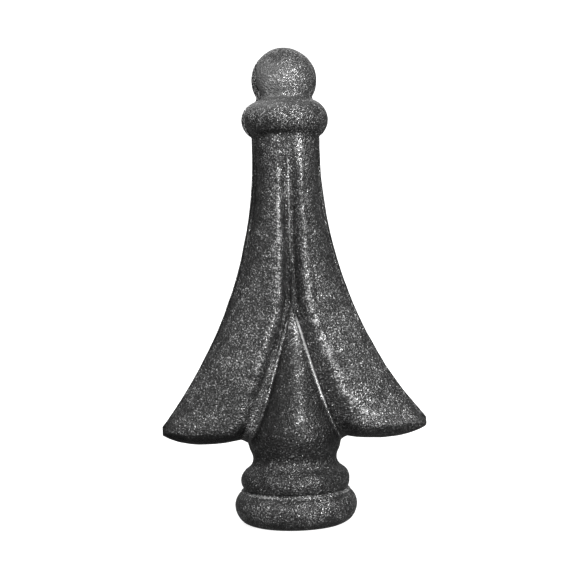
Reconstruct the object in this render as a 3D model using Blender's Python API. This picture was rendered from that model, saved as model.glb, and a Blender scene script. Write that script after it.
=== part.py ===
"""A fence finial in black iron, made as one solid.

A turned core runs the whole height: foot, base roll, collar, cove, bud, groove, neck, ring and ball.
Two leaves leave it below the ring and sweep down and out to blunt tips, on the left and the right.
The bud between them is edged by a thin bead, which runs on up the groove above the bud's point.
One quarter is modelled, at +X and -Y, and a Mirror closes it. +Z is up and the foot stands on z = 0.
"""

import math

import bmesh
import bpy

# Driving dimensions, in metres. Rises stack up from the foot.
BASE_RADIUS = 0.0154
BASE_ROLL = 0.0046  # section radius of the base roll
BASE_LIFT = 0.0044  # the roll's centre above the foot, a little less than its section radius
COLLAR_RADIUS = 0.0138
COLLAR_ROLL = 0.0035
COLLAR_RISE = 0.0064  # from the base roll's centre
BUD_RADIUS = 0.0119
BUD_ROLL = 0.0090  # section radius of the bud's bulge
BUD_RISE = 0.0110  # from the collar's centre
BUD_LENGTH = 0.0336  # from the bulge to the bud's point
RING_RADIUS = 0.0110
RING_ROLL = 0.0049
RING_RISE = 0.0463  # from the bud's point
BALL_RADIUS = 0.00825
BALL_RISE = 0.0100  # from the ring's centre
NECK_RADIUS = 0.0086  # of the round neck that the leaves spring from
NECK_DROP = 0.0073  # the springing below the ring's centre

# Hollow fillets of the turned profile
BASE_HOLLOW = 0.00035  # base roll to collar
COVE = 0.0030  # collar to bud
RING_HOLLOW = 0.0008  # neck to ring
BALL_HOLLOW = 0.0010  # ring to ball

# The leaves' outline
LEAF_SPAN = 0.0670
TIP_RISE = 0.0048  # the tip's upper corner above the leaf's lowest point
TIP_BLUNT = 0.0021  # height of the blunt end
LOW_SHARE = 0.455  # the lowest point's place, from heel to tip
LOW_DROP = 0.0013  # the lowest point below the bud's bulge
HEEL_GAP = 0.0016  # from the bud's side to the leaf's heel
HEEL_RISE = 0.0006  # the heel above the lowest point
HEEL_FILLET = 0.0008
RIB_LIFT = 0.0145  # how much higher a rib ends than it starts, at the heel
ROUND_FROM = 0.85  # share of the way from bud point to springing where the section starts to round

# The leaves' relief, as depths from the middle plane
CREST_AT_POINT = 0.0073
CREST_AT_HEEL = 0.0067
CREST_AT_TIP = 0.0042
CREST_BULGE = 0.00045  # how much fuller the crest is half way down the bud
EDGE_DEPTH = 0.0008
UNDER_ROLL = 0.0048  # height over which the lower edge rolls under
CREST_REACH = 0.0073  # crest to lower edge at the heel
TIP_REACH = 0.0052  # and at the tip
CREST_LIMIT = 0.45  # the crest's furthest place on a short rib, as a share of it
EDGE_LIMIT = 0.3  # the rim's largest share of a short rib
TIP_ROLL = 0.0025
FLANK_AT_HEEL = 0.0036  # width of the slope between web and crest
FLANK_AT_POINT = 0.0025
FLANK_AT_NECK = 0.0019

# The bud's taper, its bead and the web beside it
SHOULDER_DEG = 16.5  # where the bulge turns into the long taper
POINT_DEPTH = 0.0050  # of the groove's floor at the bud's point
BEAD_HALF_WIDTH = 0.00038
BEAD_HEIGHT = 0.00034
BEAD_END_DEG = 80.0  # how far round the bud the bead has come at the heel
BEAD_FLARE = 0.14  # share of the bead's spread that comes in its last stretch
WEB_AT_POINT = 0.0005  # width from bead to flank
WEB_AT_NECK = 0.0005
WEB_BULGE = 0.0085  # how much wider the web is low down
WEB_SINK = 0.0004  # its inner side below the bud's surface
WEB_GROOVE = 0.0003  # its outer side below the bud's edge
SPREAD_SOFTNESS = 0.14  # how gently the leaves part above the bud's point
WEB_SINK_LIMIT = 0.2  # the largest share of the web's whole fall that the sink takes
CREST_POWER = 1.7  # how full the leaf's face is between crest and outer edge

# Facets in one quarter
BUD_COLUMNS = 4
WEB_COLUMNS = 2
FLANK_COLUMNS = 4
FACE_COLUMNS = 6
RIM_COLUMNS = 2
FOOT_STEPS = 7
COLLAR_STEPS = 5
HOLLOW_STEPS = 2
COVE_STEPS = 4
BULGE_STEPS = 3
BUD_ROWS = 16
STEM_ROWS = 11
FREE_RIBS = 9
RING_STEPS = 7
BALL_STEPS = 7
SPREAD_ROWS = 6  # rows over which the columns even out, above the neck
GATHERING = 1.8  # how closely the first points of a free rib are gathered

# Heights and centres that follow, as (r, z)
BASE_CENTRE = (BASE_RADIUS - BASE_ROLL, BASE_LIFT)
COLLAR_CENTRE = (COLLAR_RADIUS - COLLAR_ROLL, BASE_LIFT + COLLAR_RISE)
BUD_CENTRE = (BUD_RADIUS - BUD_ROLL, COLLAR_CENTRE[1] + BUD_RISE)
POINT_Z = BUD_CENTRE[1] + BUD_LENGTH
RING_CENTRE = (RING_RADIUS - RING_ROLL, POINT_Z + RING_RISE)
BALL_CENTRE = (0.0, RING_CENTRE[1] + BALL_RISE)
SPRING_Z = RING_CENTRE[1] - NECK_DROP
LOW_Z = BUD_CENTRE[1] - LOW_DROP
TIP_X = LEAF_SPAN / 2
TIP_Z = LOW_Z + TIP_RISE
HEEL_X = BUD_RADIUS + HEEL_GAP
HEEL_Z = LOW_Z + HEEL_RISE
LOW_X = HEEL_X + LOW_SHARE * (TIP_X - HEEL_X)
CREST_COLUMN = BUD_COLUMNS + 1  # bud columns, then the bead's inner foot, then its crest


def mix(a, b, share):
    return a + (b - a) * share


def clamp(share):
    return min(1.0, max(0.0, share))


def ease(share):
    """Smooth step from 0 to 1."""
    share = clamp(share)
    return share * share * (3 - 2 * share)


def swell(share):
    """A quarter ellipse: upright at 0, level at 1."""
    return math.sqrt(1 - (1 - clamp(share)) ** 2)


def direction(start, end):
    return math.atan2(end[1] - start[1], end[0] - start[0]) % (2 * math.pi)


def touching_centre(lower, lower_reach, upper, upper_reach):
    """Centre, on the outer side, of the circle that touches two others of the profile."""
    run, rise = upper[0] - lower[0], upper[1] - lower[1]
    span = math.hypot(run, rise)
    along = (lower_reach**2 - upper_reach**2 + span**2) / (2 * span)
    out = math.sqrt(lower_reach**2 - along**2)
    r = lower[0] + (along * run + out * rise) / span
    z = lower[1] + (along * rise - out * run) / span
    return r, z


def arc(centre, radius, start, end, steps):
    """Points of a profile arc as (r, z), without its first point."""
    angles = [mix(start, end, i / steps) for i in range(1, steps + 1)]
    return [
        (centre[0] + radius * math.cos(a), centre[1] + radius * math.sin(a)) for a in angles
    ]


def outer_arc(centre, radius, below, above, steps):
    """A convex arc between the centres of the hollows that touch it."""
    start = direction(centre, below)
    if start > math.pi:
        start -= 2 * math.pi
    return arc(centre, radius, start, direction(centre, above), steps)


def curve_away(along, length, rise):
    """How far an arc has left its starting tangent, when it rises by rise over length."""
    radius = (length**2 + rise**2) / (2 * rise)
    return radius - math.sqrt(radius**2 - along**2)


def lower_edge_z(x):
    """The leaf's lower edge: level at its lowest point, through the heel and the tip's lower corner."""
    if x > LOW_X:
        return LOW_Z + curve_away(x - LOW_X, TIP_X - LOW_X, TIP_RISE - TIP_BLUNT)
    return LOW_Z + curve_away(x - LOW_X, LOW_X - HEEL_X, HEEL_RISE)


def outer_edge_x(z):
    """The leaf's outer edge: one arc, upright at the springing, through the tip's upper corner."""
    down = max(0.0, SPRING_Z - z)
    return NECK_RADIUS + curve_away(down, SPRING_Z - TIP_Z, TIP_X - NECK_RADIUS)


def base_profile():
    """The turned profile from the foot to just under the heel, and the height of the cove."""
    foot_turn = -math.asin(BASE_LIFT / BASE_ROLL)
    notch = touching_centre(
        BASE_CENTRE, BASE_ROLL + BASE_HOLLOW, COLLAR_CENTRE, COLLAR_ROLL + BASE_HOLLOW
    )
    cove = touching_centre(COLLAR_CENTRE, COLLAR_ROLL + COVE, BUD_CENTRE, BUD_ROLL + COVE)
    points = [(BASE_CENTRE[0] + BASE_ROLL * math.cos(foot_turn), 0.0)]
    points += arc(BASE_CENTRE, BASE_ROLL, foot_turn, direction(BASE_CENTRE, notch), FOOT_STEPS)
    points += arc(
        notch,
        BASE_HOLLOW,
        direction(notch, BASE_CENTRE),
        direction(notch, COLLAR_CENTRE),
        HOLLOW_STEPS,
    )
    points += outer_arc(COLLAR_CENTRE, COLLAR_ROLL, notch, cove, COLLAR_STEPS)
    points += arc(
        cove, COVE, direction(cove, COLLAR_CENTRE), direction(cove, BUD_CENTRE), COVE_STEPS
    )
    bulge_start = direction(BUD_CENTRE, cove) - 2 * math.pi
    bulge_end = math.asin((HEEL_Z - HEEL_FILLET - BUD_CENTRE[1]) / BUD_ROLL)
    points += arc(BUD_CENTRE, BUD_ROLL, bulge_start, bulge_end, BULGE_STEPS)
    return points, cove[1]


def crown_profile():
    """The turned profile from the top of the neck to the ball's crown, crown left out."""
    hollow_r = NECK_RADIUS + RING_HOLLOW
    reach = RING_ROLL + RING_HOLLOW
    under = (hollow_r, RING_CENTRE[1] - math.sqrt(reach**2 - (hollow_r - RING_CENTRE[0]) ** 2))
    over = touching_centre(
        RING_CENTRE, RING_ROLL + BALL_HOLLOW, BALL_CENTRE, BALL_RADIUS + BALL_HOLLOW
    )
    points = [(NECK_RADIUS, under[1])]
    points += arc(under, RING_HOLLOW, math.pi, direction(under, RING_CENTRE), HOLLOW_STEPS)
    points += outer_arc(RING_CENTRE, RING_ROLL, under, over, RING_STEPS)
    points += arc(
        over, BALL_HOLLOW, direction(over, RING_CENTRE), direction(over, BALL_CENTRE), HOLLOW_STEPS
    )
    points += outer_arc(
        BALL_CENTRE, BALL_RADIUS, over, (0.0, 2 * BALL_CENTRE[1]), BALL_STEPS
    )[:-1]
    return points


def stem_share(z):
    """0 at the bud's point and below it, 1 at the springing."""
    return clamp((z - POINT_Z) / (SPRING_Z - POINT_Z))


def core_radius(z):
    """The turned core from heel to neck: the bulge, the bud's long taper, then the groove's floor."""
    shoulder = math.radians(SHOULDER_DEG)
    start_r = BUD_CENTRE[0] + BUD_ROLL * math.cos(shoulder)
    start_z = BUD_CENTRE[1] + BUD_ROLL * math.sin(shoulder)
    if z < start_z:
        return BUD_CENTRE[0] + math.sqrt(BUD_ROLL**2 - (z - BUD_CENTRE[1]) ** 2)
    if z < POINT_Z:
        run, rise = POINT_DEPTH - start_r, POINT_Z - start_z
        lean = run * math.cos(shoulder) + rise * math.sin(shoulder)
        radius = (run**2 + rise**2) / (2 * lean)
        centre_r = start_r + radius * math.cos(shoulder)
        centre_z = start_z + radius * math.sin(shoulder)
        return centre_r - math.sqrt(radius**2 - (z - centre_z) ** 2)
    return mix(POINT_DEPTH, NECK_RADIUS, stem_share(z) ** 2)


def bud_share(z):
    """0 at the bud's point and above it, 1 at the heel."""
    return clamp((POINT_Z - z) / (POINT_Z - HEEL_Z))


def spread_share(z):
    """As bud_share, but it starts gently above the point."""
    down = (POINT_Z - z) / (POINT_Z - HEEL_Z)
    return min(1.0, (down + math.hypot(down, SPREAD_SOFTNESS)) / 2)


def round_share(z):
    """0 where the leaves stand apart, 1 where the section is the round neck."""
    return ease((stem_share(z) - ROUND_FROM) / (1 - ROUND_FROM))


def spread(down):
    """Distance from the middle of a line that runs nearly straight down, then flares at the heel."""
    foot = core_radius(HEEL_Z) * math.sin(math.radians(BEAD_END_DEG))
    return foot * mix(down, down**6, BEAD_FLARE)


def bead_x(z):
    """The bead's crest from the middle."""
    return spread(bud_share(z))


def flank_x(z):
    """The foot of the leaf's flank, where the web ends."""
    down = spread_share(z)
    at_point = BEAD_HALF_WIDTH + mix(WEB_AT_POINT, WEB_AT_NECK, stem_share(z))
    at_heel = HEEL_X - bead_x(HEEL_Z)
    return spread(down) + mix(at_point, at_heel, down**2) + WEB_BULGE * down**3 * (1 - down)


def bead_foot_depth(z):
    return math.sqrt(core_radius(z) ** 2 - bead_x(z) ** 2)


def web_depth(z):
    """Depth of the web's outer side, before it rolls under."""
    return bead_foot_depth(z) - WEB_GROOVE * (1 - ease(stem_share(z)))


def flank_depth(z):
    """Depth of the flank's foot. It rolls under to nothing at the heel."""
    return web_depth(z) * swell((z - HEEL_Z) / UNDER_ROLL)


def crest_depth(z):
    if z < POINT_Z:
        fuller = CREST_BULGE * math.sin(math.pi * bud_share(z))
        return mix(CREST_AT_POINT, CREST_AT_HEEL, bud_share(z)) + fuller
    return mix(CREST_AT_POINT, NECK_RADIUS, ease(stem_share(z)))


def bead_height(z):
    """Full on the bud, fading under the leaf's heel and towards the neck."""
    return BEAD_HEIGHT * swell((z - HEEL_Z) / UNDER_ROLL) * (1 - stem_share(z) ** 2)


def core_row(z):
    """The core's points between the middle and the flank's foot."""
    radius, crest_x, level = core_radius(z), bead_x(z), bead_foot_depth(z)
    row = []
    if z < POINT_Z:
        inner_x = crest_x - BEAD_HALF_WIDTH
        turn = math.asin(inner_x / radius)
        for i in range(BUD_COLUMNS + 1):
            angle = turn * i / BUD_COLUMNS
            row.append((radius * math.sin(angle), -radius * math.cos(angle), z))
    row.append((crest_x, -(level + bead_height(z)), z))
    foot_x = crest_x + BEAD_HALF_WIDTH
    sink = WEB_SINK * (1 - ease(stem_share(z)))
    sunk = min(level - sink, mix(level, flank_depth(z), WEB_SINK_LIMIT))
    for i in range(WEB_COLUMNS + 1):
        share = i / WEB_COLUMNS
        row.append((mix(foot_x, flank_x(z), share), -mix(sunk, flank_depth(z), share), z))
    return row


def rib(start, end, crest, foot_depth, flank, past_heel, reach, spread):
    """A rib of the leaf, from the flank's foot or the lower edge out to the outer edge.

    past_heel is how far along the lower edge it starts, reach the distance to its crest,
    spread 0 for evenly spaced points on the flank and 1 for points gathered at its start.
    """
    run, rise = end[0] - start[0], end[1] - start[1]
    length = math.hypot(run, rise)
    edge = min(EDGE_DEPTH, EDGE_LIMIT * length)
    reach = min(reach, CREST_LIMIT * length)
    brow = min(flank, reach)
    marks = []
    for i in range(1, FLANK_COLUMNS + 1):
        share = i / FLANK_COLUMNS
        marks.append((reach * mix(share, share**GATHERING, spread), 1.0))
    for i in range(1, FACE_COLUMNS + 1):
        marks.append((mix(reach, length - edge, i / FACE_COLUMNS), 1.0))
    for i in range(1, RIM_COLUMNS + 1):
        turn = math.pi / 2 * i / RIM_COLUMNS
        marks.append((length - edge + edge * math.sin(turn), math.cos(turn)))
    points = []
    for along, rim in marks:
        x, z = start[0] + run * along / length, start[1] + rise * along / length
        fall = clamp((along - brow) / (length - edge - brow))
        face = mix(crest, edge, fall**CREST_POWER)
        climb = clamp((along + past_heel) / flank)
        dip = (crest - foot_depth) * (1 - math.sin(math.pi / 2 * climb))
        under = swell((z - lower_edge_z(max(x, HEEL_X))) / min(UNDER_ROLL, length / 2))
        depth = (face - dip) * under
        around = math.sqrt(max(0.0, end[0] ** 2 - x**2))
        depth = mix(depth * rim, around, round_share(z)) * swell((TIP_X - x) / TIP_ROLL)
        points.append((x, -depth, z))
    points[-1] = (end[0], 0.0, end[1])
    return points


def flank_width(z):
    below = mix(FLANK_AT_POINT, FLANK_AT_HEEL, spread_share(z))
    return mix(below, FLANK_AT_NECK, ease(stem_share(z)))


def attached_rib(z):
    """The rib that starts at the flank's foot at this height."""
    down = (SPRING_Z - z) / (SPRING_Z - HEEL_Z)
    end_z = z + RIB_LIFT * down**2
    near_heel = 1 - ease((z - HEEL_Z) / (2 * UNDER_ROLL))
    flank = flank_width(z)
    return rib(
        start=(flank_x(z), z),
        end=(outer_edge_x(end_z), end_z),
        crest=crest_depth(z),
        foot_depth=web_depth(z),
        flank=flank,
        past_heel=0.0,
        reach=mix(flank, CREST_REACH, near_heel),
        spread=near_heel,
    )


def free_rib(share):
    """A rib from the free lower edge to the outer edge: share 0 at the heel, 1 at the tip."""
    start_x = mix(HEEL_X, TIP_X, share)
    start_z = lower_edge_z(start_x)
    end_z = mix(HEEL_Z + RIB_LIFT, TIP_Z, share)
    points = rib(
        start=(start_x, start_z),
        end=(outer_edge_x(end_z), end_z),
        crest=mix(CREST_AT_HEEL, CREST_AT_TIP, share),
        foot_depth=web_depth(HEEL_Z),
        flank=FLANK_AT_HEEL,
        past_heel=start_x - HEEL_X,
        reach=mix(CREST_REACH, TIP_REACH, share),
        spread=1.0,
    )
    return [(start_x, 0.0, start_z)] + points


def round_row(radius, z, angles):
    return [(radius * math.sin(a), -radius * math.cos(a), z) for a in angles]


def even_angles(row):
    last = len(row) - 1
    return [math.pi / 2 * i / last for i in range(last + 1)]


def base_rows(heel_row):
    """Rows from the foot to the heel, with the columns gathered to the bead as they rise."""
    profile, cove_z = base_profile()
    even = even_angles(heel_row)
    gathered = [math.atan2(x, -y) for x, y, z in heel_row]
    web = gathered[CREST_COLUMN]
    for i in range(CREST_COLUMN, len(even)):
        gathered[i] = mix(web, math.pi / 2, (i - CREST_COLUMN) / (len(even) - 1 - CREST_COLUMN))
    rows = []
    for r, z in profile:
        share = ease((z - cove_z) / (HEEL_Z - cove_z))
        rows.append(round_row(r, z, [mix(a, b, share) for a, b in zip(even, gathered)]))
    top = rows[-1]
    half = [tuple(mix(a, b, 1 / 2) for a, b in zip(p, q)) for p, q in zip(top, heel_row)]
    turn = math.radians(45)  # half way round the heel's fillet
    half[-1] = (
        mix(top[-1][0], HEEL_X, 1 - math.cos(turn)),
        0.0,
        mix(top[-1][2], HEEL_Z, math.sin(turn)),
    )
    return rows + [half]


def crown_rows(neck_row):
    """Rows from the neck to the ball, with the columns evened out as they rise."""
    neck = [math.atan2(x, -y) for x, y, z in neck_row]
    even = even_angles(neck_row)
    rows = []
    for i, (r, z) in enumerate(crown_profile()):
        share = ease(i / SPREAD_ROWS)
        rows.append(round_row(r, z, [mix(a, b, share) for a, b in zip(neck, even)]))
    return rows


def rounded(row):
    """The row with its core points moved out to the round neck where the leaves have merged."""
    share = round_share(row[0][2])
    reach = row[-1][0]
    core = [
        (x, -mix(-y, math.sqrt(max(0.0, reach**2 - x**2)), share), z)
        for x, y, z in row[: WEB_COLUMNS + 2]
    ]
    return core + row[WEB_COLUMNS + 2 :]


def join(bm, lower, upper):
    for a, b, c, d in zip(lower, lower[1:], upper[1:], upper):
        bm.faces.new((a, b, c, d))


def add_rows(bm, rows):
    """Adds the rows' points, joins them in order and returns their vertices."""
    grid = [[bm.verts.new(point) for point in row] for row in rows]
    for lower, upper in zip(grid, grid[1:]):
        join(bm, lower, upper)
    return grid


def quarter_mesh():
    """The quarter as a bmesh, open on the planes x = 0 and y = 0."""
    bm = bmesh.new()
    bud_heights = [mix(HEEL_Z, POINT_Z, i / BUD_ROWS) for i in range(BUD_ROWS)]
    stem_heights = [mix(POINT_Z, SPRING_Z, i / STEM_ROWS) for i in range(STEM_ROWS + 1)]
    bud_rows = [core_row(z) + attached_rib(z) for z in bud_heights]
    stem_rows = [rounded(core_row(z) + attached_rib(z)) for z in stem_heights]
    heel_core = core_row(HEEL_Z)
    bud = add_rows(bm, bud_rows)
    base = add_rows(bm, base_rows(heel_core))
    join(bm, base[-1], bud[0][: len(heel_core)])
    stem = add_rows(bm, stem_rows + crown_rows(stem_rows[-1]))
    for a, b in zip(bud[-1][:CREST_COLUMN], bud[-1][1:]):
        bm.faces.new((a, b, stem[0][0]))
    join(bm, bud[-1][CREST_COLUMN:], stem[0])
    foot = bm.verts.new((0.0, 0.0, 0.0))
    for a, b in zip(base[0], base[0][1:]):
        bm.faces.new((foot, b, a))
    crown = bm.verts.new((0.0, 0.0, BALL_CENTRE[1] + BALL_RADIUS))
    for a, b in zip(stem[-1], stem[-1][1:]):
        bm.faces.new((crown, a, b))
    previous = bud[0][len(heel_core) - 1 :]
    for i in range(1, FREE_RIBS + 1):
        share = math.sin(math.pi / 2 * i / FREE_RIBS)
        current = [bm.verts.new(point) for point in free_rib(share)]
        join(bm, current, previous)
        previous = current
    return bm


def black_iron():
    material = bpy.data.materials.new("black_iron")
    material.use_nodes = True
    shader = material.node_tree.nodes["Principled BSDF"]
    shader.inputs["Base Color"].default_value = (0.075, 0.075, 0.078, 1.0)
    shader.inputs["Metallic"].default_value = 0.7
    shader.inputs["Roughness"].default_value = 0.5
    return material


def add_finial():
    bm = quarter_mesh()
    mesh = bpy.data.meshes.new("finial")
    bm.to_mesh(mesh)
    bm.free()
    mesh.shade_smooth()
    mesh.materials.append(black_iron())
    finial = bpy.data.objects.new("finial", mesh)
    bpy.context.scene.collection.objects.link(finial)
    mirror = finial.modifiers.new("four quarters", "MIRROR")
    mirror.use_axis = (True, True, False)
    mirror.merge_threshold = 0.00001
    return finial


def main():
    for old in list(bpy.data.objects):
        bpy.data.objects.remove(old)
    add_finial()


main()
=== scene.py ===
import math

import bmesh
import bpy
from mathutils import Matrix, Vector, noise


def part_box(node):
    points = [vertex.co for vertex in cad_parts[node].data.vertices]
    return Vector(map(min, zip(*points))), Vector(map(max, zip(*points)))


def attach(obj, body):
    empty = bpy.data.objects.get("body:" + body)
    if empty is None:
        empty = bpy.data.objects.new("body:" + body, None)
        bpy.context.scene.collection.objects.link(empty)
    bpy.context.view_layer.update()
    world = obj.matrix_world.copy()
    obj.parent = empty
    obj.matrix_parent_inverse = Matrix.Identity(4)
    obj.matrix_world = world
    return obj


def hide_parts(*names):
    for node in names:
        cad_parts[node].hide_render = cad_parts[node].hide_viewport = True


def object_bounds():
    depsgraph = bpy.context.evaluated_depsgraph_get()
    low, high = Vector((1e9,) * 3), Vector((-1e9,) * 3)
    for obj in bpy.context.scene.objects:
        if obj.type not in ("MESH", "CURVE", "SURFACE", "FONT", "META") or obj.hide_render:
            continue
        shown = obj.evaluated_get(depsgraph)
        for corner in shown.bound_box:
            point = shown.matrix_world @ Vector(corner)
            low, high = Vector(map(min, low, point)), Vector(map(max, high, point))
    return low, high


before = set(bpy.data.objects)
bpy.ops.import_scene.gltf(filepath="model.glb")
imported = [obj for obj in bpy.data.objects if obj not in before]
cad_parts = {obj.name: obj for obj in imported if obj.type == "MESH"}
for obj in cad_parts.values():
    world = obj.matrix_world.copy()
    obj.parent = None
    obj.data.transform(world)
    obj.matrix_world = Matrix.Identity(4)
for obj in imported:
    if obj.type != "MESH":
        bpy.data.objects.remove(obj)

cadLow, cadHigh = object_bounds()
finialLow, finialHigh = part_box("finial")
print("frame loaded")

# Every size below is in millimetres of the modelled finial. Depths are from the middle plane.
foot = {
    "radius": 15.4,
    "roll": 4.6,
    "lift": 4.4,
    "hollow": 0.35,
    "lipArc": 0.27,  # radians of the roll below the notch that its lip and groove take
    "lip": 0.24,
    "lipPlace": (0.68, 0.32),  # centre and reach, as shares of that arc
    "groove": 0.12,
    "groovePlace": (0.22, 0.22),
}
collar = {"radius": 13.8, "roll": 3.5, "rise": 6.4, "cove": 3.0}
bud = {
    "radius": 11.9,
    "roll": 9.0,
    "rise": 11.0,
    "length": 33.6,
    "shoulder": 16.5,  # degrees round the bulge where the taper starts
    "pointDepth": 5.0,
}
crown = {
    "ringRadius": 11.0,
    "ringRoll": 4.9,
    "ringRise": 46.3,
    "ballRadius": 8.25,
    "ballRise": 10.0,
    "neckRadius": 8.6,
    "neckDrop": 7.3,
    "ringHollow": 0.8,
    "ballHollow": 1.0,
    "roundFrom": 0.86,  # share of the stem's height where its section starts to turn round
    "roundReach": 0.14,
}
bead = {
    "halfWidth": 0.38,
    "innerMost": 0.9,  # most of the way from the middle to its crest that its inner side takes
    "height": 0.34,
    "inside": 0.10,  # shallow groove on its bud side
    "insidePlace": (0.93, 0.18),  # centre and reach, as shares of the way out to the bead
    # centre and reach of the bead's painted shadow on its bud side, as shares of the way out to the
    # bead
    "shadowPlace": (0.93, 0.12),
    "shadeRise": 8.0,  # the more, the sooner the painted shadow starts below the bud's point
    "endAngle": 80.0,
    "flare": 0.14,
    "flarePower": 6,  # the more, the lower it flares
    # painted highlight along the bead, on the stem and on the bud
    "stemHighlight": 1.1,
    "stemHighlightSpan": (58.0, 14.0, 93.0, 3.0),  # heights: starts at, over, ends at, over
    "budHighlightSpan": (0.0625, 0.125, 0.85, 0.25),  # the same, as shares down the bud
}
web = {
    "atPoint": 0.5,
    "atNeck": 0.5,
    "bulge": 8.5,  # the more, the wider low down
    "groove": 0.3,  # its outer side, below the bud's edge
    "sinkAtPoint": 0.5,  # share of its inner side's sink there
    "sinkRise": 4.0,
    "sunkLeast": 0.3,  # share of the way from the bud's edge to the outer side
    "sag": 0.8,  # below 1, it falls sooner
    "lowFrom": 48.0,  # height where its painted shade turns to the amount low down
    "lowReach": 12.0,
}
# Painted highlight down the middle of the bud, a little right of it, with a painted highlight spot
# low down and painted shade to both sides
budLine = {
    "right": 1.0,
    "width": 1.2,
    "paintedLightAndWear": 0.85,
    "endZ": 31.0,  # its lower end
    "fade": 8.0,
    "spot": 0.9,
    "spotZ": 27.0,
    "spotHeight": 1.8,
    "paintedShade": 1.2,
    "spared": 0.6,  # share of the painted shade that the line is free of
    "shadeRise": 2.5,
}
leaf = {
    "span": 67.0,
    "tipRise": 4.8,
    "tipBlunt": 2.1,
    "lowShare": 0.455,
    "lowDrop": 1.3,
    "heelGap": 1.6,
    "heelRise": 0.6,
    "heelFillet": 0.8,
    "ribLift": 14.5,
    "crestAtPoint": 7.3,
    "crestAtHeel": 6.7,
    "crestAtTip": 4.2,
    "crestBulge": 0.45,
    "edge": 0.8,
    "edgeMost": 0.3,  # share of the face's width
    "underRoll": 4.8,
    "crestReach": 7.3,  # from the heel in to the crest
    "tipReach": 5.2,
    "reachMost": 0.45,  # share of the face's width
    "softness": 0.14,  # how softly the web widens at the bud's point
    "tipRoll": 2.5,
    "outX": (16.0, 17.0),  # where the tip's drift out starts, and over what width it grows
    "outZ": (18.0, 3.0, 44.0, 18.0),  # heights: starts at, over, ends at, over
    "downX": (12.0, 8.0),
    "downZ": (18.0, 2.0, 34.0, 12.0),
    "ridge": 0.12,  # height of the crest's low ridge above the face
    "ridgeWidth": 1.4,
    "ridgeEnd": 0.4,  # share of the way from heel to tip
    "crestMarkTurns": 18.0,  # height above the bud's point where the crest's painted highlight and wear start to change
    "crestMarkBlend": 20.0,
    "crestMarkFade": 8.0,
    # painted shade along the outer rim
    "rimShade": 0.5,
    "rimShadeWidth": 1.6,
    "bandPlace": 3.2,  # where the painted highlight band lies, in from the outer edge
    "bandWidth": 1.3,
    "bandZ": (31.0, 5.0, 64.0, 8.0),
}
# How each leaf differs: widths of the slope between web and crest, drift of the tip, painted
# highlight and wear on the crest, painted shade, and how steeply the face falls at shares of the
# way from crest to outer edge
leaves = {
    -1: {
        "flank": (1.6, 2.0, 3.2),  # at the neck, the bud's point and the heel
        "tipOut": -0.35,
        "tipDown": 0.3,
        "crestWearAndHighlight": (0.85, 0.5),  # on the stem and below
        "crestMarkEnds": 33.0,
        "beadHighlight": 0.9,
        "sink": 0.2,  # of the web's inner side, below the bud's edge
        "webShade": (0.6, 0.0),  # painted shade near the bud's point and low down
        "insideShadow": 1.2,
        "flankShade": 0.7,
        "rollShade": 2.1,
        "highlightBand": 0.0,  # painted highlight band down the face, near the outer edge
        "falls": [(0, 0), (0.08, 0.7), (0.3, 0.5), (0.6, 0.8), (0.85, 1.6), (1, 2.2)],
    },
    1: {
        "flank": (2.2, 2.9, 4.0),
        "tipOut": 0.3,
        "tipDown": 0.0,
        "crestWearAndHighlight": (0.7, 0.85),
        "crestMarkEnds": 22.0,
        "beadHighlight": 3.2,
        "sink": 0.75,
        "webShade": (0.8, 0.8),
        "insideShadow": 0.2,
        "flankShade": 0.4,
        "rollShade": 0.5,
        "highlightBand": 0.4,
        "falls": [
            (0, 0),
            (0.08, 1.0),
            (0.14, 1.0),
            (0.3, 0.3),
            (0.6, 1.0),
            (0.85, 1.6),
            (1, 2.2),
        ],
    },
}
# Facets of the fine mesh, in one quarter
fine = {
    "sole": 8,
    "bud": 12,
    "bead": 3,
    "web": 7,
    "flank": 13,
    "face": 17,
    "rim": 5,
    "footRoll": 15,
    "lip": 12,
    "notch": 5,
    "collar": 14,
    "cove": 9,
    "bulge": 9,
    "fillet": 4,
    "budRows": 76,
    "stemRows": 66,
    "neck": 4,
    "hollow": 5,
    "ring": 24,
    "ball": 24,
    "freeRibs": 30,
    "evenRows": 14,
    "flankGather": 1.8,  # above 1, the points lie closer together near the start
    "faceGather": 1.5,
    "faceGathered": 0.6,  # share of that gathering
}

# Heights and centres that follow from the sizes, as (r, z)
footCentre = (foot["radius"] - foot["roll"], foot["lift"])
collarCentre = (collar["radius"] - collar["roll"], foot["lift"] + collar["rise"])
budCentre = (bud["radius"] - bud["roll"], collarCentre[1] + bud["rise"])
pointZ = budCentre[1] + bud["length"]
ringCentre = (crown["ringRadius"] - crown["ringRoll"], pointZ + crown["ringRise"])
ballCentre = (0.0, ringCentre[1] + crown["ballRise"])
topZ = ballCentre[1] + crown["ballRadius"]
springZ = ringCentre[1] - crown["neckDrop"]
lowZ = budCentre[1] - leaf["lowDrop"]
tipX = leaf["span"] / 2
tipZ = lowZ + leaf["tipRise"]
heelX = bud["radius"] + leaf["heelGap"]
heelZ = lowZ + leaf["heelRise"]
lowX = heelX + leaf["lowShare"] * (tipX - heelX)
crestColumn = fine["bud"] + fine["bead"]
mm = (finialHigh.z - finialLow.z) / topZ  # metres to a millimetre of the finial


def mix(a, b, share):
    return a + (b - a) * share


def clamp(share):
    return min(1.0, max(0.0, share))


def ease(share):
    share = clamp(share)
    return share * share * (3 - 2 * share)


def swell(share):  # quarter ellipse: upright at 0, level at 1
    return math.sqrt(1 - (1 - clamp(share)) ** 2)


def bump(value, centre, reach):  # smooth hill, 1 at its centre and 0 from reach away
    return ease(1 - abs(value - centre) / reach)


def past(value, start, reach):  # 0 up to start, 1 from reach beyond it
    return ease((value - start) / reach)


def within(value, start, rise, end, fall):  # 0 up to start and from end on, 1 between
    return past(value, start, rise) * ease((end - value) / fall)


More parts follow.
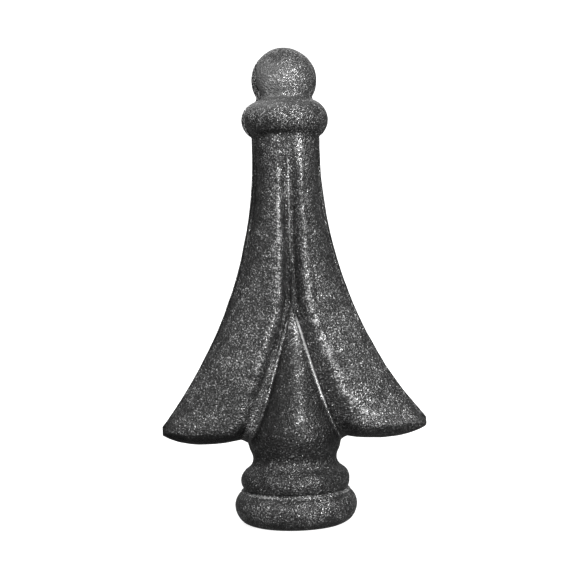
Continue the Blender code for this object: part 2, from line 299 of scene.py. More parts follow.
def fallen(share, falls):  # share of the face's whole fall that is behind it there
    reached = total = 0.0
    for (a, steepA), (b, steepB) in zip(falls, falls[1:]):
        total += (b - a) * (steepA + steepB) / 2
        part = clamp((share - a) / (b - a))
        reached += (b - a) * part * mix(steepA, mix(steepA, steepB, part), 0.5)
    return reached / total


def direction(start, end):
    return math.atan2(end[1] - start[1], end[0] - start[0]) % (2 * math.pi)


def touchingCentre(lower, lowerReach, upper, upperReach):
    run, rise = upper[0] - lower[0], upper[1] - lower[1]
    span = math.hypot(run, rise)
    along = (lowerReach**2 - upperReach**2 + span**2) / (2 * span)
    out = math.sqrt(lowerReach**2 - along**2)
    x = lower[0] + (along * run + out * rise) / span
    return x, lower[1] + (along * rise - out * run) / span


def arcPoints(centre, radius, start, end, steps):
    angles = [mix(start, end, i / steps) for i in range(1, steps + 1)]
    return [(centre[0] + radius * math.cos(a), centre[1] + radius * math.sin(a)) for a in angles]


def outerArc(centre, radius, below, above, steps):
    start = direction(centre, below)
    if start > math.pi:
        start -= 2 * math.pi
    return arcPoints(centre, radius, start, direction(centre, above), steps)


def curveAway(along, length, rise):
    radius = (length**2 + rise**2) / (2 * rise)
    return radius - math.sqrt(radius**2 - along**2)


def lowerEdgeZ(x):
    if x > lowX:
        return lowZ + curveAway(x - lowX, tipX - lowX, leaf["tipRise"] - leaf["tipBlunt"])
    return lowZ + curveAway(x - lowX, lowX - heelX, leaf["heelRise"])


def outerEdgeX(z):
    down = max(0.0, springZ - z)
    return crown["neckRadius"] + curveAway(down, springZ - tipZ, tipX - crown["neckRadius"])


def baseProfile():  # foot, base roll, notch, collar, cove and the bud's bulge
    turn = -math.asin(foot["lift"] / foot["roll"])
    reach = foot["hollow"]
    notch = touchingCentre(footCentre, foot["roll"] + reach, collarCentre, collar["roll"] + reach)
    reach = collar["cove"]
    cove = touchingCentre(collarCentre, collar["roll"] + reach, budCentre, bud["roll"] + reach)
    footEdge = footCentre[0] + foot["roll"] * math.cos(turn)
    points = [(footEdge * i / fine["sole"], 0.0) for i in range(1, fine["sole"] + 1)]
    top = direction(footCentre, notch)
    points += arcPoints(footCentre, foot["roll"], turn, top - foot["lipArc"], fine["footRoll"])
    for i in range(1, fine["lip"] + 1):
        share = i / fine["lip"]
        raised = foot["lip"] * bump(share, *foot["lipPlace"])
        raised -= foot["groove"] * bump(share, *foot["groovePlace"])
        turn = top - foot["lipArc"] * (1 - share)
        points += arcPoints(footCentre, foot["roll"] + raised, turn, turn, 1)
    starts = direction(notch, footCentre), direction(notch, collarCentre)
    points += arcPoints(notch, foot["hollow"], *starts, fine["notch"])
    points += outerArc(collarCentre, collar["roll"], notch, cove, fine["collar"])
    starts = direction(cove, collarCentre), direction(cove, budCentre)
    points += arcPoints(cove, collar["cove"], *starts, fine["cove"])
    start = direction(budCentre, cove) - 2 * math.pi
    end = math.asin((heelZ - leaf["heelFillet"] - budCentre[1]) / bud["roll"])
    points += arcPoints(budCentre, bud["roll"], start, end, fine["bulge"])
    return points, cove[1]


def crownProfile():  # neck, ring and ball, without the crown point
    hollowR = crown["neckRadius"] + crown["ringHollow"]
    reach = crown["ringRoll"] + crown["ringHollow"]
    under = (hollowR, ringCentre[1] - math.sqrt(reach**2 - (hollowR - ringCentre[0]) ** 2))
    reach = crown["ballHollow"]
    over = touchingCentre(
        ringCentre, crown["ringRoll"] + reach, ballCentre, crown["ballRadius"] + reach
    )
    neck = crown["neckRadius"]
    steps = fine["neck"]
    points = [(neck, mix(springZ, under[1], i / steps)) for i in range(1, steps + 1)]
    points += arcPoints(
        under, crown["ringHollow"], math.pi, direction(under, ringCentre), fine["hollow"]
    )
    points += outerArc(ringCentre, crown["ringRoll"], under, over, fine["ring"])
    starts = direction(over, ringCentre), direction(over, ballCentre)
    points += arcPoints(over, crown["ballHollow"], *starts, fine["hollow"])
    points += outerArc(ballCentre, crown["ballRadius"], over, (0.0, 2 * topZ), fine["ball"])[:-1]
    return points


def coreRadius(z):  # the bulge, the bud's long taper, then the groove's floor
    shoulder = math.radians(bud["shoulder"])
    startR = budCentre[0] + bud["roll"] * math.cos(shoulder)
    startZ = budCentre[1] + bud["roll"] * math.sin(shoulder)
    if z < startZ:
        return budCentre[0] + math.sqrt(bud["roll"] ** 2 - (z - budCentre[1]) ** 2)
    if z < pointZ:
        run, rise = bud["pointDepth"] - startR, pointZ - startZ
        lean = run * math.cos(shoulder) + rise * math.sin(shoulder)
        radius = (run**2 + rise**2) / (2 * lean)
        centreR = startR + radius * math.cos(shoulder)
        centreZ = startZ + radius * math.sin(shoulder)
        return centreR - math.sqrt(radius**2 - (z - centreZ) ** 2)
    return mix(bud["pointDepth"], crown["neckRadius"], stemShare(z) ** 2)


def stemShare(z):
    return clamp((z - pointZ) / (springZ - pointZ))


def budShare(z):
    return clamp((pointZ - z) / (pointZ - heelZ))


def spreadShare(z):  # as budShare, but it starts softly above the point
    down = (pointZ - z) / (pointZ - heelZ)
    return min(1.0, (down + math.hypot(down, leaf["softness"])) / 2)


def roundShare(z):  # 1 where the section has become the round neck
    return past(stemShare(z), crown["roundFrom"], crown["roundReach"])


def spread(down):
    footX = coreRadius(heelZ) * math.sin(math.radians(bead["endAngle"]))
    return footX * mix(down, down ** bead["flarePower"], bead["flare"])


def beadX(z):
    return spread(budShare(z))


def flankX(z):
    down = spreadShare(z)
    atPoint = bead["halfWidth"] + mix(web["atPoint"], web["atNeck"], stemShare(z))
    atHeel = heelX - beadX(heelZ)
    return spread(down) + mix(atPoint, atHeel, down**2) + web["bulge"] * down**3 * (1 - down)


def beadFootDepth(z):
    return math.sqrt(coreRadius(z) ** 2 - beadX(z) ** 2)


def grooveDepth(z):
    level = beadFootDepth(z) - web["groove"] * (1 - ease(stemShare(z)))
    return level * swell((z - heelZ) / leaf["underRoll"])


def crestDepth(z):
    if z < pointZ:
        rise = leaf["crestBulge"] * math.sin(math.pi * budShare(z))
        return mix(leaf["crestAtPoint"], leaf["crestAtHeel"], budShare(z)) + rise
    return mix(leaf["crestAtPoint"], crown["neckRadius"], ease(stemShare(z)))


def beadLift(z, across):  # across is -1 at the bead's inner foot, 0 on top, 1 at its outer foot
    height = bead["height"] * swell((z - heelZ) / leaf["underRoll"]) * (1 - stemShare(z) ** 2)
    return height * (0.5 + 0.5 * math.cos(math.pi * across))


def budLightAndShade(x, z, side):  # painted highlight down the bud's middle line, a little to the right, and painted shade to its sides, growing in below the point
    line = math.exp(-(((side * x - budLine["right"]) / budLine["width"]) ** 2))
    spot = math.exp(-(((z - budLine["spotZ"]) / budLine["spotHeight"]) ** 2))
    along = budLine["paintedLightAndWear"] * past(z, budLine["endZ"], budLine["fade"])
    paintedShade = budLine["paintedShade"] * (1 - budLine["spared"] * line)
    brightened = line * (along + budLine["spot"] * spot)
    return brightened - paintedShade * ease(budLine["shadeRise"] * budShare(z))


def coreRow(z, side):  # from the middle to the flank's foot, as (x, depth, z, painted light and wear)
    radius, crestX, level = coreRadius(z), beadX(z), beadFootDepth(z)
    shape = leaves[side]
    row = []
    if z < pointZ:
        inner = min(bead["halfWidth"], bead["innerMost"] * crestX)
        turn = math.asin((crestX - inner) / radius)
        for i in range(fine["bud"]):
            share = i / fine["bud"]
            x = radius * math.sin(turn * share)
            cut = bead["inside"] * bump(share, *bead["insidePlace"]) * (1 - budShare(z) ** 4)
            # painted shadow of the bead on its bud side
            paintedShade = shape["insideShadow"] * bump(share, *bead["shadowPlace"])
            paintedLightAndWear = budLightAndShade(x, z, side) - paintedShade * ease(bead["shadeRise"] * budShare(z))
            row.append((x, radius * math.cos(turn * share) - cut, z, paintedLightAndWear))
        for i in range(-fine["bead"], 0):
            across = i / fine["bead"]
            x = crestX + inner * across
            depth = math.sqrt(radius**2 - x**2) + beadLift(z, across)
            row.append((x, depth, z, beadHighlight(z, across, side)))
    row.append((crestX, level + beadLift(z, 0), z, beadHighlight(z, 0, side)))
    deep = grooveDepth(z)
    opened = 1 - ease(stemShare(z))
    sink = shape["sink"] * opened
    sink *= mix(web["sinkAtPoint"], 1, ease(web["sinkRise"] * budShare(z)))
    # painted shade over the web
    webShade = opened * mix(*shape["webShade"], ease((web["lowFrom"] - z) / web["lowReach"]))
    sunk = min(level - sink, mix(level, deep, web["sunkLeast"]))
    for i in range(1, fine["bead"] + 1):
        across = i / fine["bead"]
        x = crestX + bead["halfWidth"] * across
        depth = mix(level, sunk, ease(across)) + beadLift(z, across)
        row.append((x, depth, z, beadHighlight(z, across, side) - webShade * across))
    footX = crestX + bead["halfWidth"]
    for i in range(1, fine["web"] + 1):
        share = i / fine["web"]
        depth = mix(sunk, deep, share ** web["sag"])
        row.append((mix(footX, flankX(z), share), depth, z, -webShade))
    return row


# painted highlight along the bead's crest
def beadHighlight(z, across, side):
    onBud = leaves[side]["beadHighlight"] * within(budShare(z), *bead["budHighlightSpan"])
    onStem = bead["stemHighlight"] * within(z, *bead["stemHighlightSpan"])
    return (onBud + onStem) * (1 - across**2)


def ribMarks(length, reach, edge, gather):  # distances along a rib, with shares of the full depth
    marks = []
    for i in range(1, fine["flank"] + 1):
        share = i / fine["flank"]
        marks.append((reach * mix(share, share ** fine["flankGather"], gather), 1.0))
    for i in range(1, fine["face"] + 1):
        share = i / fine["face"]
        share = mix(share, share ** fine["faceGather"], fine["faceGathered"])
        marks.append((mix(reach, length - edge, share), 1.0))
    for i in range(1, fine["rim"] + 1):
        turn = math.pi / 2 * i / fine["rim"]
        marks.append((length - edge + edge * math.sin(turn), math.cos(turn)))
    return marks


# A line of points over a leaf's face, from start to end, both as (x, z). It climbs the flank to the
# crest and falls from there. pastHeel is how far out of the heel it starts.
def rib(start, end, crest, footDepth, pastHeel, reach, gather, side, ridge):
    run, rise = end[0] - start[0], end[1] - start[1]
    length = math.hypot(run, rise)
    edge = min(leaf["edge"], leaf["edgeMost"] * length)
    shape = leaves[side]
    flank = shape["flank"][2] if pastHeel else flankWidth(start[1], side)
    reach = min(reach, leaf["reachMost"] * length)
    brow = min(flank, reach)
    points = []
    for along, rim in ribMarks(length, reach, edge, gather):
        x, z = start[0] + run * along / length, start[1] + rise * along / length
        face = mix(crest, edge, fallen((along - brow) / (length - edge - brow), shape["falls"]))
        climb = clamp((along + pastHeel) / flank)
        dip = (crest - footDepth) * (1 - math.sin(math.pi / 2 * climb))
        onCrest = math.exp(-(((along - reach) / leaf["ridgeWidth"]) ** 2)) * ridge
        above = z - lowerEdgeZ(max(x, heelX))
        under = swell(above / min(leaf["underRoll"], length / 2))
        depth = (face - dip + leaf["ridge"] * onCrest) * under
        around = math.sqrt(max(0.0, end[0] ** 2 - x**2))
        depth = mix(depth * rim, around, roundShare(z)) * swell((tipX - x) / leaf["tipRoll"])
        # painted highlight, with some wear, along the crest
        turned = ease((pointZ + leaf["crestMarkTurns"] - z) / leaf["crestMarkBlend"])
        crestMarkFrom = shape["crestMarkEnds"] - leaf["crestMarkFade"] / 2
        paintedLightAndWear = mix(*shape["crestWearAndHighlight"], turned) * onCrest * past(z, crestMarkFrom, leaf["crestMarkFade"])
        # painted shade along the outer rim
        paintedLightAndWear -= leaf["rimShade"] * clamp(leaf["rimShadeWidth"] - (length - along))
        # painted shade on the flank
        paintedLightAndWear -= shape["flankShade"] * (1 - climb)
        # painted shade on the rolled underside
        paintedLightAndWear -= shape["rollShade"] * clamp(1 - above / leaf["underRoll"])
        # painted highlight band down the face
        fromBand = (length - along - leaf["bandPlace"]) / leaf["bandWidth"]
        paintedLightAndWear += shape["highlightBand"] * math.exp(-(fromBand**2)) * within(z, *leaf["bandZ"])
        points.append((x, depth, z, paintedLightAndWear))
    points[-1] = (end[0], 0.0, end[1], points[-1][3])
    return points


def flankWidth(z, side):
    atNeck, atPoint, atHeel = leaves[side]["flank"]
    return mix(mix(atPoint, atHeel, spreadShare(z)), atNeck, ease(stemShare(z)))


def attachedRib(z, side):
    down = (springZ - z) / (springZ - heelZ)
    endZ = z + leaf["ribLift"] * down**2
    nearHeel = 1 - ease((z - heelZ) / (2 * leaf["underRoll"]))
    footDepth = beadFootDepth(z) - web["groove"] * (1 - ease(stemShare(z)))
    reach = mix(flankWidth(z, side), leaf["crestReach"], nearHeel)
    end = (outerEdgeX(endZ), endZ)
    return rib((flankX(z), z), end, crestDepth(z), footDepth, 0.0, reach, nearHeel, side, 1.0)


def freeRib(share, side):
    startX = mix(heelX, tipX, share)
    start = (startX, lowerEdgeZ(startX))
    endZ = mix(heelZ + leaf["ribLift"], tipZ, share)
    end = (outerEdgeX(endZ), endZ)
    crest = mix(leaf["crestAtHeel"], leaf["crestAtTip"], share)
    reach = mix(leaf["crestReach"], leaf["tipReach"], share)
    footDepth = beadFootDepth(heelZ) - web["groove"]
    ridge = 1 - ease(share / leaf["ridgeEnd"])
    points = rib(start, end, crest, footDepth, startX - heelX, reach, 1.0, side, ridge)
    # its first point, on the lower edge, takes the rim's painted shade
    return [(start[0], 0.0, start[1], -leaf["rimShade"])] + points


# Painted light (+) and painted shade (-) belts round the turned parts: (height, half height,
# amount)
lightBelts = [
    (0.6, 2.4, -0.5),  # the foot's lower edge
    (2.6, 2.6, 0.1),
    (8.2, 0.4, 1.0),  # the foot's lip
    (8.8, 0.4, -0.9),  # the notch
    (12.0, 5.0, -0.4),  # the collar
    (17.0, 3.0, -0.9),  # the cove
    (20.5, 3.0, -1.0),  # the bud's underside
    (96.9, 0.8, -0.5),  # painted shadow under the ring
    (97.4, 1.8, -0.4),
    (102.8, 3.4, 0.2),  # the ring
    (108.0, 2.0, 0.2),
    (111.0, 7.0, 0.2),  # the ball
]
# The ball's skin is smoother and has painted light on it, most of all on the left
litBall = {
    "height": 109.5,
    "reach": 9.0,
    "firmness": 2.0,  # the more, the sharper its ends
    "left": 0.19,
    "right": 0.02,
    "blend": 15.0,  # width over which left turns to right
}


def beltLight(z):
    return sum(amount * bump(z, centre, reach) for centre, reach, amount in lightBelts)


# painted light on the ball, most on its left
def ballPaintedLight(x, z, side):
    pale = mix(litBall["left"], litBall["right"], clamp(0.5 + side * x / litBall["blend"]))
    return pale * ease(litBall["firmness"] * bump(z, litBall["height"], litBall["reach"]))


def roundRow(radius, z, angles):
    paintedLightAndWear = beltLight(z)
    return [(radius * math.sin(a), radius * math.cos(a), z, paintedLightAndWear) for a in angles]


def evenAngles(count):
    return [math.pi / 2 * i / (count - 1) for i in range(count)]


def mixRows(first, second, share):
    return [tuple(mix(a, b, share) for a, b in zip(p, q)) for p, q in zip(first, second)]


def baseRows(heelRow):
    profile, coveZ = baseProfile()
    count = len(heelRow)
    even = evenAngles(count)
    gathered = [math.atan2(x, depth) for x, depth, z, paintedLightAndWear in heelRow]
    turn = gathered[crestColumn]
    for i in range(crestColumn, count):
        gathered[i] = mix(turn, math.pi / 2, (i - crestColumn) / (count - 1 - crestColumn))
    rows = []
    for r, z in profile:
        share = ease((z - coveZ) / (heelZ - coveZ))
        rows.append(roundRow(r, z, [mix(a, b, share) for a, b in zip(even, gathered)]))
    below = rows[-1]
    for i in range(1, fine["fillet"]):
        share = i / fine["fillet"]
        row = mixRows(below, heelRow, share)
        turn = math.pi / 2 * share
        corner = mix(below[-1][0], heelX, 1 - math.cos(turn))
        row[-1] = (corner, 0.0, mix(below[-1][2], heelZ, math.sin(turn)), 0.0)
        rows.append(row)
    return rows


def crownRows(neckRow):
    neck = [math.atan2(x, depth) for x, depth, z, paintedLightAndWear in neckRow]
    even = evenAngles(len(neck))
    rows = []
    for i, (r, z) in enumerate(crownProfile()):
        share = ease(i / fine["evenRows"])
        row = roundRow(r, z, [mix(a, b, share) for a, b in zip(neck, even)])
        fading = [old[3] * (1 - share) for old in neckRow]
        rows.append([(x, y, z, paintedLightAndWear + old) for (x, y, z, paintedLightAndWear), old in zip(row, fading)])
    return rows


def stemRow(z, side):
    row = coreRow(z, side) + attachedRib(z, side)
    core = fine["bead"] + fine["web"] + 1
    reach = row[-1][0]
    depths = [math.sqrt(max(0.0, reach**2 - point[0] ** 2)) for point in row[:core]]
    rounded = [(x, depth, z, paintedLightAndWear) for depth, (x, flat, z, paintedLightAndWear) in zip(depths, row)]
    return mixRows(row[:core], rounded, roundShare(z)) + row[core:]


# Flash where the two dies met: (height, half height, width) of each stretch, on the left and right
flash = {
    -1: [
        (109.7, 8.0, 3.4),
        (101.0, 5.0, 1.6),
        (86.0, 14.0, 0.4),
        (58.0, 26.0, 0.3),
        (11.0, 3.5, 0.15),
    ],
    1: [(11.2, 3.6, 0.5), (101.5, 5.0, 0.12), (70.0, 16.0, 0.12)],
}
flashShape = {
    "fade": 5.5,  # depth over which the front half comes back out to full size
    "fromMiddle": 4.0,  # distance from the middle line over which it grows
    "place": (7.3, 1.9),  # in the noise that makes its width uneven
    "waves": 0.45,
    "uneven": 0.5,
}
# Painted shade along the outline where the two halves meet, in front only
seamShade = {
    "reach": 0.5,
    "flashReach": 2.2,  # times the flash's width
    "above": 1.0,  # height where it starts
    "front": 1.8,
    "back": 0.0,
}
ledgeLightAndShade = [(0.45, -1.0), (0.58, 0.9), (0.96, 0.9)]  # painted shade in the crease and painted light on the ledge, across it from its crease out
ledgeFrom = {"height": 92.0, "reach": 5.0, "below": 0.15}  # its painted light and shade are full at the ring and ball only
samePlace = 1e-7  # metres
weldGap = 2e-6


def flashWidth(z, side):
    width = sum(size * bump(z, centre, reach) for centre, reach, size in flash[side])
    across, level = flashShape["place"]
    ragged = noise.noise(Vector((side * across, level, z * flashShape["waves"])))
    return width * (1 + flashShape["uneven"] * ragged)


def placed(x, depth, z, side, face):  # face is -1 in front and 1 behind
    if face < 0:
        width = flashWidth(z, side) * clamp(x / flashShape["fromMiddle"])
        x -= width * (1 - clamp(depth / flashShape["fade"])) ** 2
    shape = leaves[side]
    x += shape["tipOut"] * past(x, *leaf["outX"]) * within(z, *leaf["outZ"])
    z -= shape["tipDown"] * past(x, *leaf["downX"]) * within(z, *leaf["downZ"])
    return Vector((side * x, face * depth, z)) * mm + Vector((0, 0, finialLow.z))


def addQuarter(bm, side, face):  # gives its points along the seam, from the sole to the top
    forward = side * face < 0
    wearAndLightLayer, paintedBrightLayer = bm.verts.layers.float["paintedLightAndWear"], bm.verts.layers.float["paintedBright"]
    paintedShade = seamShade["front"] if face < 0 else seamShade["back"]

    def addFace(corners):
        bm.faces.new(corners if forward else corners[::-1])

    def addPoint(x, depth, z, paintedLightAndWear):
        vertex = bm.verts.new(placed(x, depth, z, side, face))
        reach = seamShade["reach"]
        if face < 0:
            reach += seamShade["flashReach"] * flashWidth(z, side)
        # painted shade near the outline
        paintedLightAndWear -= paintedShade * (1 - clamp(depth / reach)) * ease(z - seamShade["above"])
        vertex[wearAndLightLayer] = min(paintedLightAndWear, 1.0)
        # painted highlight where the bead's runs past 1, and painted light on the ball
        vertex[paintedBrightLayer] = max(paintedLightAndWear - 1, ballPaintedLight(x, z, side))
        return vertex

    def addRow(row):
        middle, edge = row[0], row[-1]
        row = [(0.0, *middle[1:])] + row[1:-1] + [(edge[0], 0.0, *edge[2:])]
        return [addPoint(*point) for point in row]

    def join(lower, upper):
        for a, b, c, d in zip(lower, lower[1:], upper[1:], upper):
            addFace((a, b, c, d))

    def addRows(rows):
        grid = [addRow(row) for row in rows]
        for lower, upper in zip(grid, grid[1:]):
            join(lower, upper)
        return grid

    budHeights = [mix(heelZ, pointZ, i / fine["budRows"]) for i in range(fine["budRows"])]
    stemHeights = [mix(pointZ, springZ, i / fine["stemRows"]) for i in range(fine["stemRows"] + 1)]
    heelRow = coreRow(heelZ, side)
    budGrid = addRows([coreRow(z, side) + attachedRib(z, side) for z in budHeights])
    base = addRows(baseRows(heelRow))
    join(base[-1], budGrid[0][: len(heelRow)])
    stemRows = [stemRow(z, side) for z in stemHeights]
    stem = addRows(stemRows + crownRows(stemRows[-1]))
    for a, b in zip(budGrid[-1][:crestColumn], budGrid[-1][1:]):
        addFace((a, b, stem[0][0]))
    join(budGrid[-1][crestColumn:], stem[0])
    sole = addPoint(0.0, 0.0, 0.0, 0.0)
    for a, b in zip(base[0], base[0][1:]):
        addFace((sole, b, a))
    peak = addPoint(0.0, 0.0, topZ, paintedShade)  # which cancels the seam's painted shade there
    for a, b in zip(stem[-1], stem[-1][1:]):
        addFace((peak, a, b))
    edge = [sole] + [row[-1] for row in base] + [budGrid[0][len(heelRow) - 1]]
    previous = budGrid[0][len(heelRow) - 1 :]
    for i in range(1, fine["freeRibs"] + 1):
        share = math.sin(math.pi / 2 * i / fine["freeRibs"])
        current = [addPoint(*point) for point in freeRib(share, side)]
        join(current, previous)
        edge.append(current[0])
        outer = [current[-1]] if i == 1 else outer + [current[-1]]
        previous = current
    edge += previous[1:]
    edge += outer[-2::-1] + [row[-1] for row in budGrid] + [row[-1] for row in stem] + [peak]
    return edge


def bridgeFlash(bm, frontEdge, backEdge, side):  # closes the ledge between the two halves
    wearAndLightLayer = bm.verts.layers.float["paintedLightAndWear"]
    lines = [frontEdge]
    for share, paintedLightAndWear in ledgeLightAndShade:
        lines.append([bm.verts.new(a.co.lerp(b.co, share)) for a, b in zip(frontEdge, backEdge)])
        for vertex in lines[-1]:
            up = ease((vertex.co.z / mm - ledgeFrom["height"]) / ledgeFrom["reach"])
            vertex[wearAndLightLayer] = paintedLightAndWear * mix(ledgeFrom["below"], 1, up)
    lines.append(backEdge)
    for inner, outer in zip(lines, lines[1:]):
        for a, b, c, d in zip(inner, inner[1:], outer[1:], outer):
            if (a.co - d.co).length > samePlace or (b.co - c.co).length > samePlace:
                bm.faces.new((a, d, c, b) if side > 0 else (a, b, c, d))


# Unevenness of the forged surface: wavelength and height of each layer, in millimetres
unevenness = [(11.0, 0.16), (4.5, 0.08), (2.0, 0.05), (1.1, 0.02)]
evenEnds = {"foot": 0.6, "top": 1.5, "pastTop": 0.5}  # heights over which it dies away at both ends
lumps = {"height": 12.6, "reach": 5.5, "more": 0.9}  # the collar is lumpier than the rest
creaseAngle = 55  # degrees from which an edge looks sharp


def roughen(bm):
    bm.normal_update()
    moves = []
    for vertex in bm.verts:
        place = vertex.co / mm
        height = sum(
            size * noise.noise(place / length + Vector((length, 0, 0)))
            for length, size in unevenness
        )
        height *= 1 + lumps["more"] * bump(place.z, lumps["height"], lumps["reach"])
        keep = ease(place.z / evenEnds["foot"])
        keep *= ease((topZ + evenEnds["pastTop"] - place.z) / evenEnds["top"])
        moves.append(vertex.normal * height * keep * mm)
    for vertex, move in zip(bm.verts, moves):
        vertex.co += move


def makeFinial():
    bm = bmesh.new()
    bm.verts.layers.float.new("paintedLightAndWear")
    bm.verts.layers.float.new("paintedBright")
    for side in (-1, 1):
        edges = [addQuarter(bm, side, face) for face in (-1, 1)]
        bridgeFlash(bm, *edges, side)
    bmesh.ops.remove_doubles(bm, verts=bm.verts, dist=weldGap)
    bmesh.ops.recalc_face_normals(bm, faces=bm.faces)
    roughen(bm)
    mesh = bpy.data.meshes.new("finial iron")
    bm.to_mesh(mesh)
    openEdges = sum(1 for edge in bm.edges if not edge.is_manifold)
    print("finial mesh:", len(bm.faces), "faces,", openEdges, "open edges")
    bm.free()
    mesh.shade_smooth()
    mesh.set_sharp_from_angle(angle=math.radians(creaseAngle))
    finial = bpy.data.objects.new("finialIron", mesh)
    bpy.context.scene.collection.objects.link(finial)
    return finial


# Scaled black iron: fine bright grains in a dark skin, thicker where a painted highlight or rubbed
# wear lies, and darker under painted shade. The noises are (cells to a metre, detail).
iron = {
    "tones": [(0.35, 0.018), (0.46, 0.038), (0.54, 0.070), (0.60, 0.18), (0.67, 0.50)],
    "paintedBright": 0.8,  # brightness of the bead's painted highlight where it runs past 1, and of the painted light on the ball
    "specular": 0.4,
    "grain": (2500, 1.0),
    "speck": (5200, 0.5),
    "speckShare": 0.35,
    "cluster": (520, 2.0),
    "clusterShare": 0.17,
    "blotch": (130, 3.0),
    "blotchShare": 0.15,
    # how much painted highlight and wear lift the tone, and how much painted shade lowers and
    # darkens it
    "lightAndWearShare": 0.12,
    "shadeShare": 0.035,
    "shadeDepth": 0.45,
    "shadeLeast": 0.15,  # share of the brightness that painted shade always leaves
    "mottle": (2.4, -0.25),  # how unevenly the painted highlight and wear lie: times the cluster's value, and plus
    "metallic": 0.4,
    "roughness": [(0.42, 0.42), (0.58, 0.20)],  # by tone, dark to bright
    "bump": 1.0,
    "bumpDepth": 0.0005,
    "pit": (2000, 1.0),  # bumps that glint
    "pitShare": 0.7,
}


def makeIron():
    material = bpy.data.materials.new("black iron")
    material.use_nodes = True
    nodes, links = material.node_tree.nodes, material.node_tree.links
    shader = nodes["Principled BSDF"]
    shader.inputs["Metallic"].default_value = iron["metallic"]
    shader.inputs["Specular IOR Level"].default_value = iron["specular"]
    place = nodes.new("ShaderNodeTexCoord").outputs["Object"]

    def noiseOf(name):
        texture = nodes.new("ShaderNodeTexNoise")
        texture.inputs["Scale"].default_value = iron[name][0]
        texture.inputs["Detail"].default_value = iron[name][1]
        links.new(place, texture.inputs["Vector"])
        return texture.outputs[0]

    def combine(operation, *values):
        made = nodes.new("ShaderNodeMath")
        made.operation = operation
        for socket, value in zip(made.inputs, values):
            if isinstance(value, (float, int)):
                socket.default_value = value
            else:
                links.new(value, socket)
        return made.outputs[0]

    def ramp(source, stops):
        made = nodes.new("ShaderNodeValToRGB")
        elements = made.color_ramp.elements
        while len(elements) < len(stops):
            elements.new(0.5)
        for element, (position, value) in zip(elements, stops):
            element.position = position
            element.color = (value, value, value, 1)
        links.new(source, made.inputs[0])
        return made.outputs[0]

    def centred(source):  # a noise's middle value is 0.5
        return combine("SUBTRACT", source, 0.5)

    paintedLightAndWear = nodes.new("ShaderNodeAttribute")
    paintedLightAndWear.attribute_name = "paintedLightAndWear"
    grain = combine("MULTIPLY_ADD", centred(noiseOf("grain")), 1 - iron["speckShare"], 0.5)
    grain = combine("MULTIPLY_ADD", centred(noiseOf("speck")), iron["speckShare"], grain)
    cluster = noiseOf("cluster")
    tone = combine("MULTIPLY_ADD", centred(cluster), iron["clusterShare"], grain)
    tone = combine("MULTIPLY_ADD", centred(noiseOf("blotch")), iron["blotchShare"], tone)
    # painted highlight and wear brighten the tone; painted shade lowers it and darkens the colour
    brightened = combine("MAXIMUM", paintedLightAndWear.outputs["Fac"], 0.0)
    darkened = combine("MINIMUM", paintedLightAndWear.outputs["Fac"], 0.0)
    mottled = combine("MULTIPLY", brightened, combine("MULTIPLY_ADD", cluster, *iron["mottle"]))
    tone = combine("MULTIPLY_ADD", mottled, iron["lightAndWearShare"], tone)
    tone = combine("MULTIPLY_ADD", darkened, iron["shadeShare"], tone)
    shade = combine("MULTIPLY_ADD", darkened, iron["shadeDepth"], 1.0)
    shade = combine("MAXIMUM", shade, iron["shadeLeast"])
    skin = combine("MULTIPLY", ramp(tone, iron["tones"]), shade)
    # painted highlight on the bead and painted light on the ball, blended towards a light grey
    paintedBright = nodes.new("ShaderNodeAttribute")
    paintedBright.attribute_name = "paintedBright"
    blend = nodes.new("ShaderNodeMix")
    blend.data_type = "RGBA"
    links.new(paintedBright.outputs["Fac"], blend.inputs["Factor"])
    links.new(skin, blend.inputs["A"])
    blend.inputs["B"].default_value = (iron["paintedBright"], iron["paintedBright"], iron["paintedBright"], 1)
    links.new(blend.outputs["Result"], shader.inputs["Base Color"])
    links.new(ramp(tone, iron["roughness"]), shader.inputs["Roughness"])
    relief = nodes.new("ShaderNodeBump")
    relief.inputs["Strength"].default_value = iron["bump"]
    relief.inputs["Distance"].default_value = iron["bumpDepth"]
    pits = combine("MULTIPLY", noiseOf("pit"), iron["pitShare"])
    links.new(combine("MULTIPLY_ADD", grain, 1 - iron["pitShare"], pits), relief.inputs["Height"])
    links.new(relief.outputs[0], shader.inputs["Normal"])
    return material


finial = makeFinial()
finial.data.materials.append(makeIron())
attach(finial, "root")
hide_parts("finial")
print("finial dressed")

# The floor is a disc that curves up all round into a pale wall, in metres
backdrop = {
    "flat": 0.9,
    "rings": (0.5, 0.97, 1.0),  # shares of the flat part's radius
    "radius": 0.6,
    "height": 2.0,
    "steps": 16,
    "sides": 96,
    "colour": (0.6, 0.6, 0.6, 1),
    "roughness": 0.9,
    "specular": 0.1,
    "glow": 0.88,
}


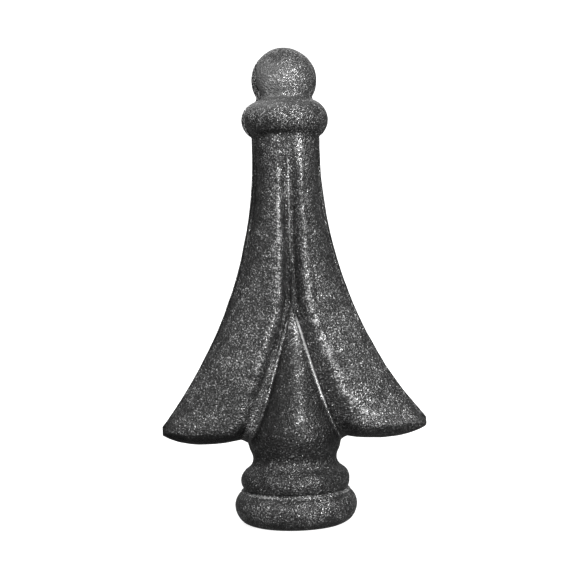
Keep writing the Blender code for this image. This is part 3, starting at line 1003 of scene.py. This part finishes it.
def makeBackdrop():
    profile = [(backdrop["flat"] * share, 0.0) for share in backdrop["rings"]]
    centre = (backdrop["flat"], backdrop["radius"])
    profile += arcPoints(centre, backdrop["radius"], -math.pi / 2, 0.0, backdrop["steps"])
    profile.append((profile[-1][0], backdrop["height"]))
    bm = bmesh.new()
    turns = [2 * math.pi * i / backdrop["sides"] for i in range(backdrop["sides"])]
    rings = [
        [bm.verts.new((r * math.cos(a), r * math.sin(a), finialLow.z + z)) for a in turns]
        for r, z in profile
    ]
    bm.faces.new(rings[0])
    for lower, upper in zip(rings, rings[1:]):
        for i in range(backdrop["sides"]):
            bm.faces.new((lower[i], lower[i - 1], upper[i - 1], upper[i]))
    mesh = bpy.data.meshes.new("floor")
    bm.to_mesh(mesh)
    bm.free()
    mesh.shade_smooth()
    material = bpy.data.materials.new("floor paper")
    material.use_nodes = True
    shader = material.node_tree.nodes["Principled BSDF"]
    shader.inputs["Base Color"].default_value = backdrop["colour"]
    shader.inputs["Roughness"].default_value = backdrop["roughness"]
    shader.inputs["Specular IOR Level"].default_value = backdrop["specular"]
    shader.inputs["Emission Color"].default_value = (1, 1, 1, 1)
    shader.inputs["Emission Strength"].default_value = backdrop["glow"]
    mesh.materials.append(material)
    floor = bpy.data.objects.new("floor", mesh)
    bpy.context.scene.collection.objects.link(floor)
    floor.visible_diffuse = floor.visible_glossy = False  # the iron sees a dark room, not the paper
    return floor


makeBackdrop()

# Angles in degrees: turn is to the right of the view, lift above it. Sizes and distances in metres.
lights = {
    "key": {"turn": 25, "lift": 20, "distance": 0.5, "size": 0.11, "height": 0.32, "power": 2.8},
    "fill": {"turn": -42, "lift": 22, "distance": 0.6, "size": 1.1, "power": 2.9},
    "back": {"turn": 180, "lift": 52, "distance": 1.0, "size": 1.3, "power": 4.0},
    "paper": {
        "turn": 168,
        "lift": 50,
        "distance": 0.9,
        "size": 0.9,
        "power": 8.0,
        "aim": (0, 1.3, 0.2),  # at the wall behind
    },
}
world = {"colour": (1, 1, 1, 1), "strength": 0.12}


def addLights():
    middle = (cadLow + cadHigh) / 2
    for name, light in lights.items():
        turn, lift = math.radians(light["turn"]), math.radians(light["lift"])
        away = Vector(
            (math.sin(turn) * math.cos(lift), -math.cos(turn) * math.cos(lift), math.sin(lift))
        )
        data = bpy.data.lights.new(name, "AREA")
        data.shape = "RECTANGLE"
        data.size = light["size"]
        data.size_y = light.get("height", light["size"])
        data.energy = light["power"]
        lamp = bpy.data.objects.new(name, data)
        bpy.context.scene.collection.objects.link(lamp)
        lamp.location = middle + away * light["distance"]
        aim = Vector(light["aim"]) if "aim" in light else middle
        lamp.rotation_euler = (aim - lamp.location).to_track_quat("-Z", "Y").to_euler()
    sky = bpy.data.worlds.new("studio")
    sky.use_nodes = True
    background = sky.node_tree.nodes["Background"]
    background.inputs[0].default_value = world["colour"]
    background.inputs[1].default_value = world["strength"]
    bpy.context.scene.world = sky
    bpy.context.scene.view_settings.view_transform = "Standard"


addLights()
print("studio lit")

# The photograph's view: level, from a little left of the front, with the finial leaning left
view = {
    "distance": 300.0,  # millimetres of the finial, as the next two are
    "aim": (-1.57, 0.0, 60.3),
    "pixelsPerMm": 3.944,
    "turn": -3.0,
    "roll": 1.71,
    "pixels": 567,
    "sensor": 36.0,
    "clipStart": 0.01,
}


def addCamera():
    data = bpy.data.cameras.new("camera")
    data.sensor_width = view["sensor"]
    data.lens = view["sensor"] * view["distance"] * view["pixelsPerMm"] / view["pixels"]
    data.clip_start = view["clipStart"]
    camera = bpy.data.objects.new("camera", data)
    bpy.context.scene.collection.objects.link(camera)
    turn = math.radians(view["turn"])
    aim = Vector(view["aim"]) * mm + Vector((0, 0, finialLow.z))
    eye = aim + Vector((math.sin(turn), -math.cos(turn), 0)) * view["distance"] * mm
    forward = (aim - eye).normalized()
    right = forward.cross(Vector((0, 0, 1)))
    upright = Matrix((right, right.cross(forward), -forward)).transposed()
    tilt = Matrix.Rotation(math.radians(view["roll"]), 3, forward)
    camera.matrix_world = Matrix.Translation(eye) @ (tilt @ upright).to_4x4()
    bpy.context.scene.camera = camera


addCamera()
print("camera set")
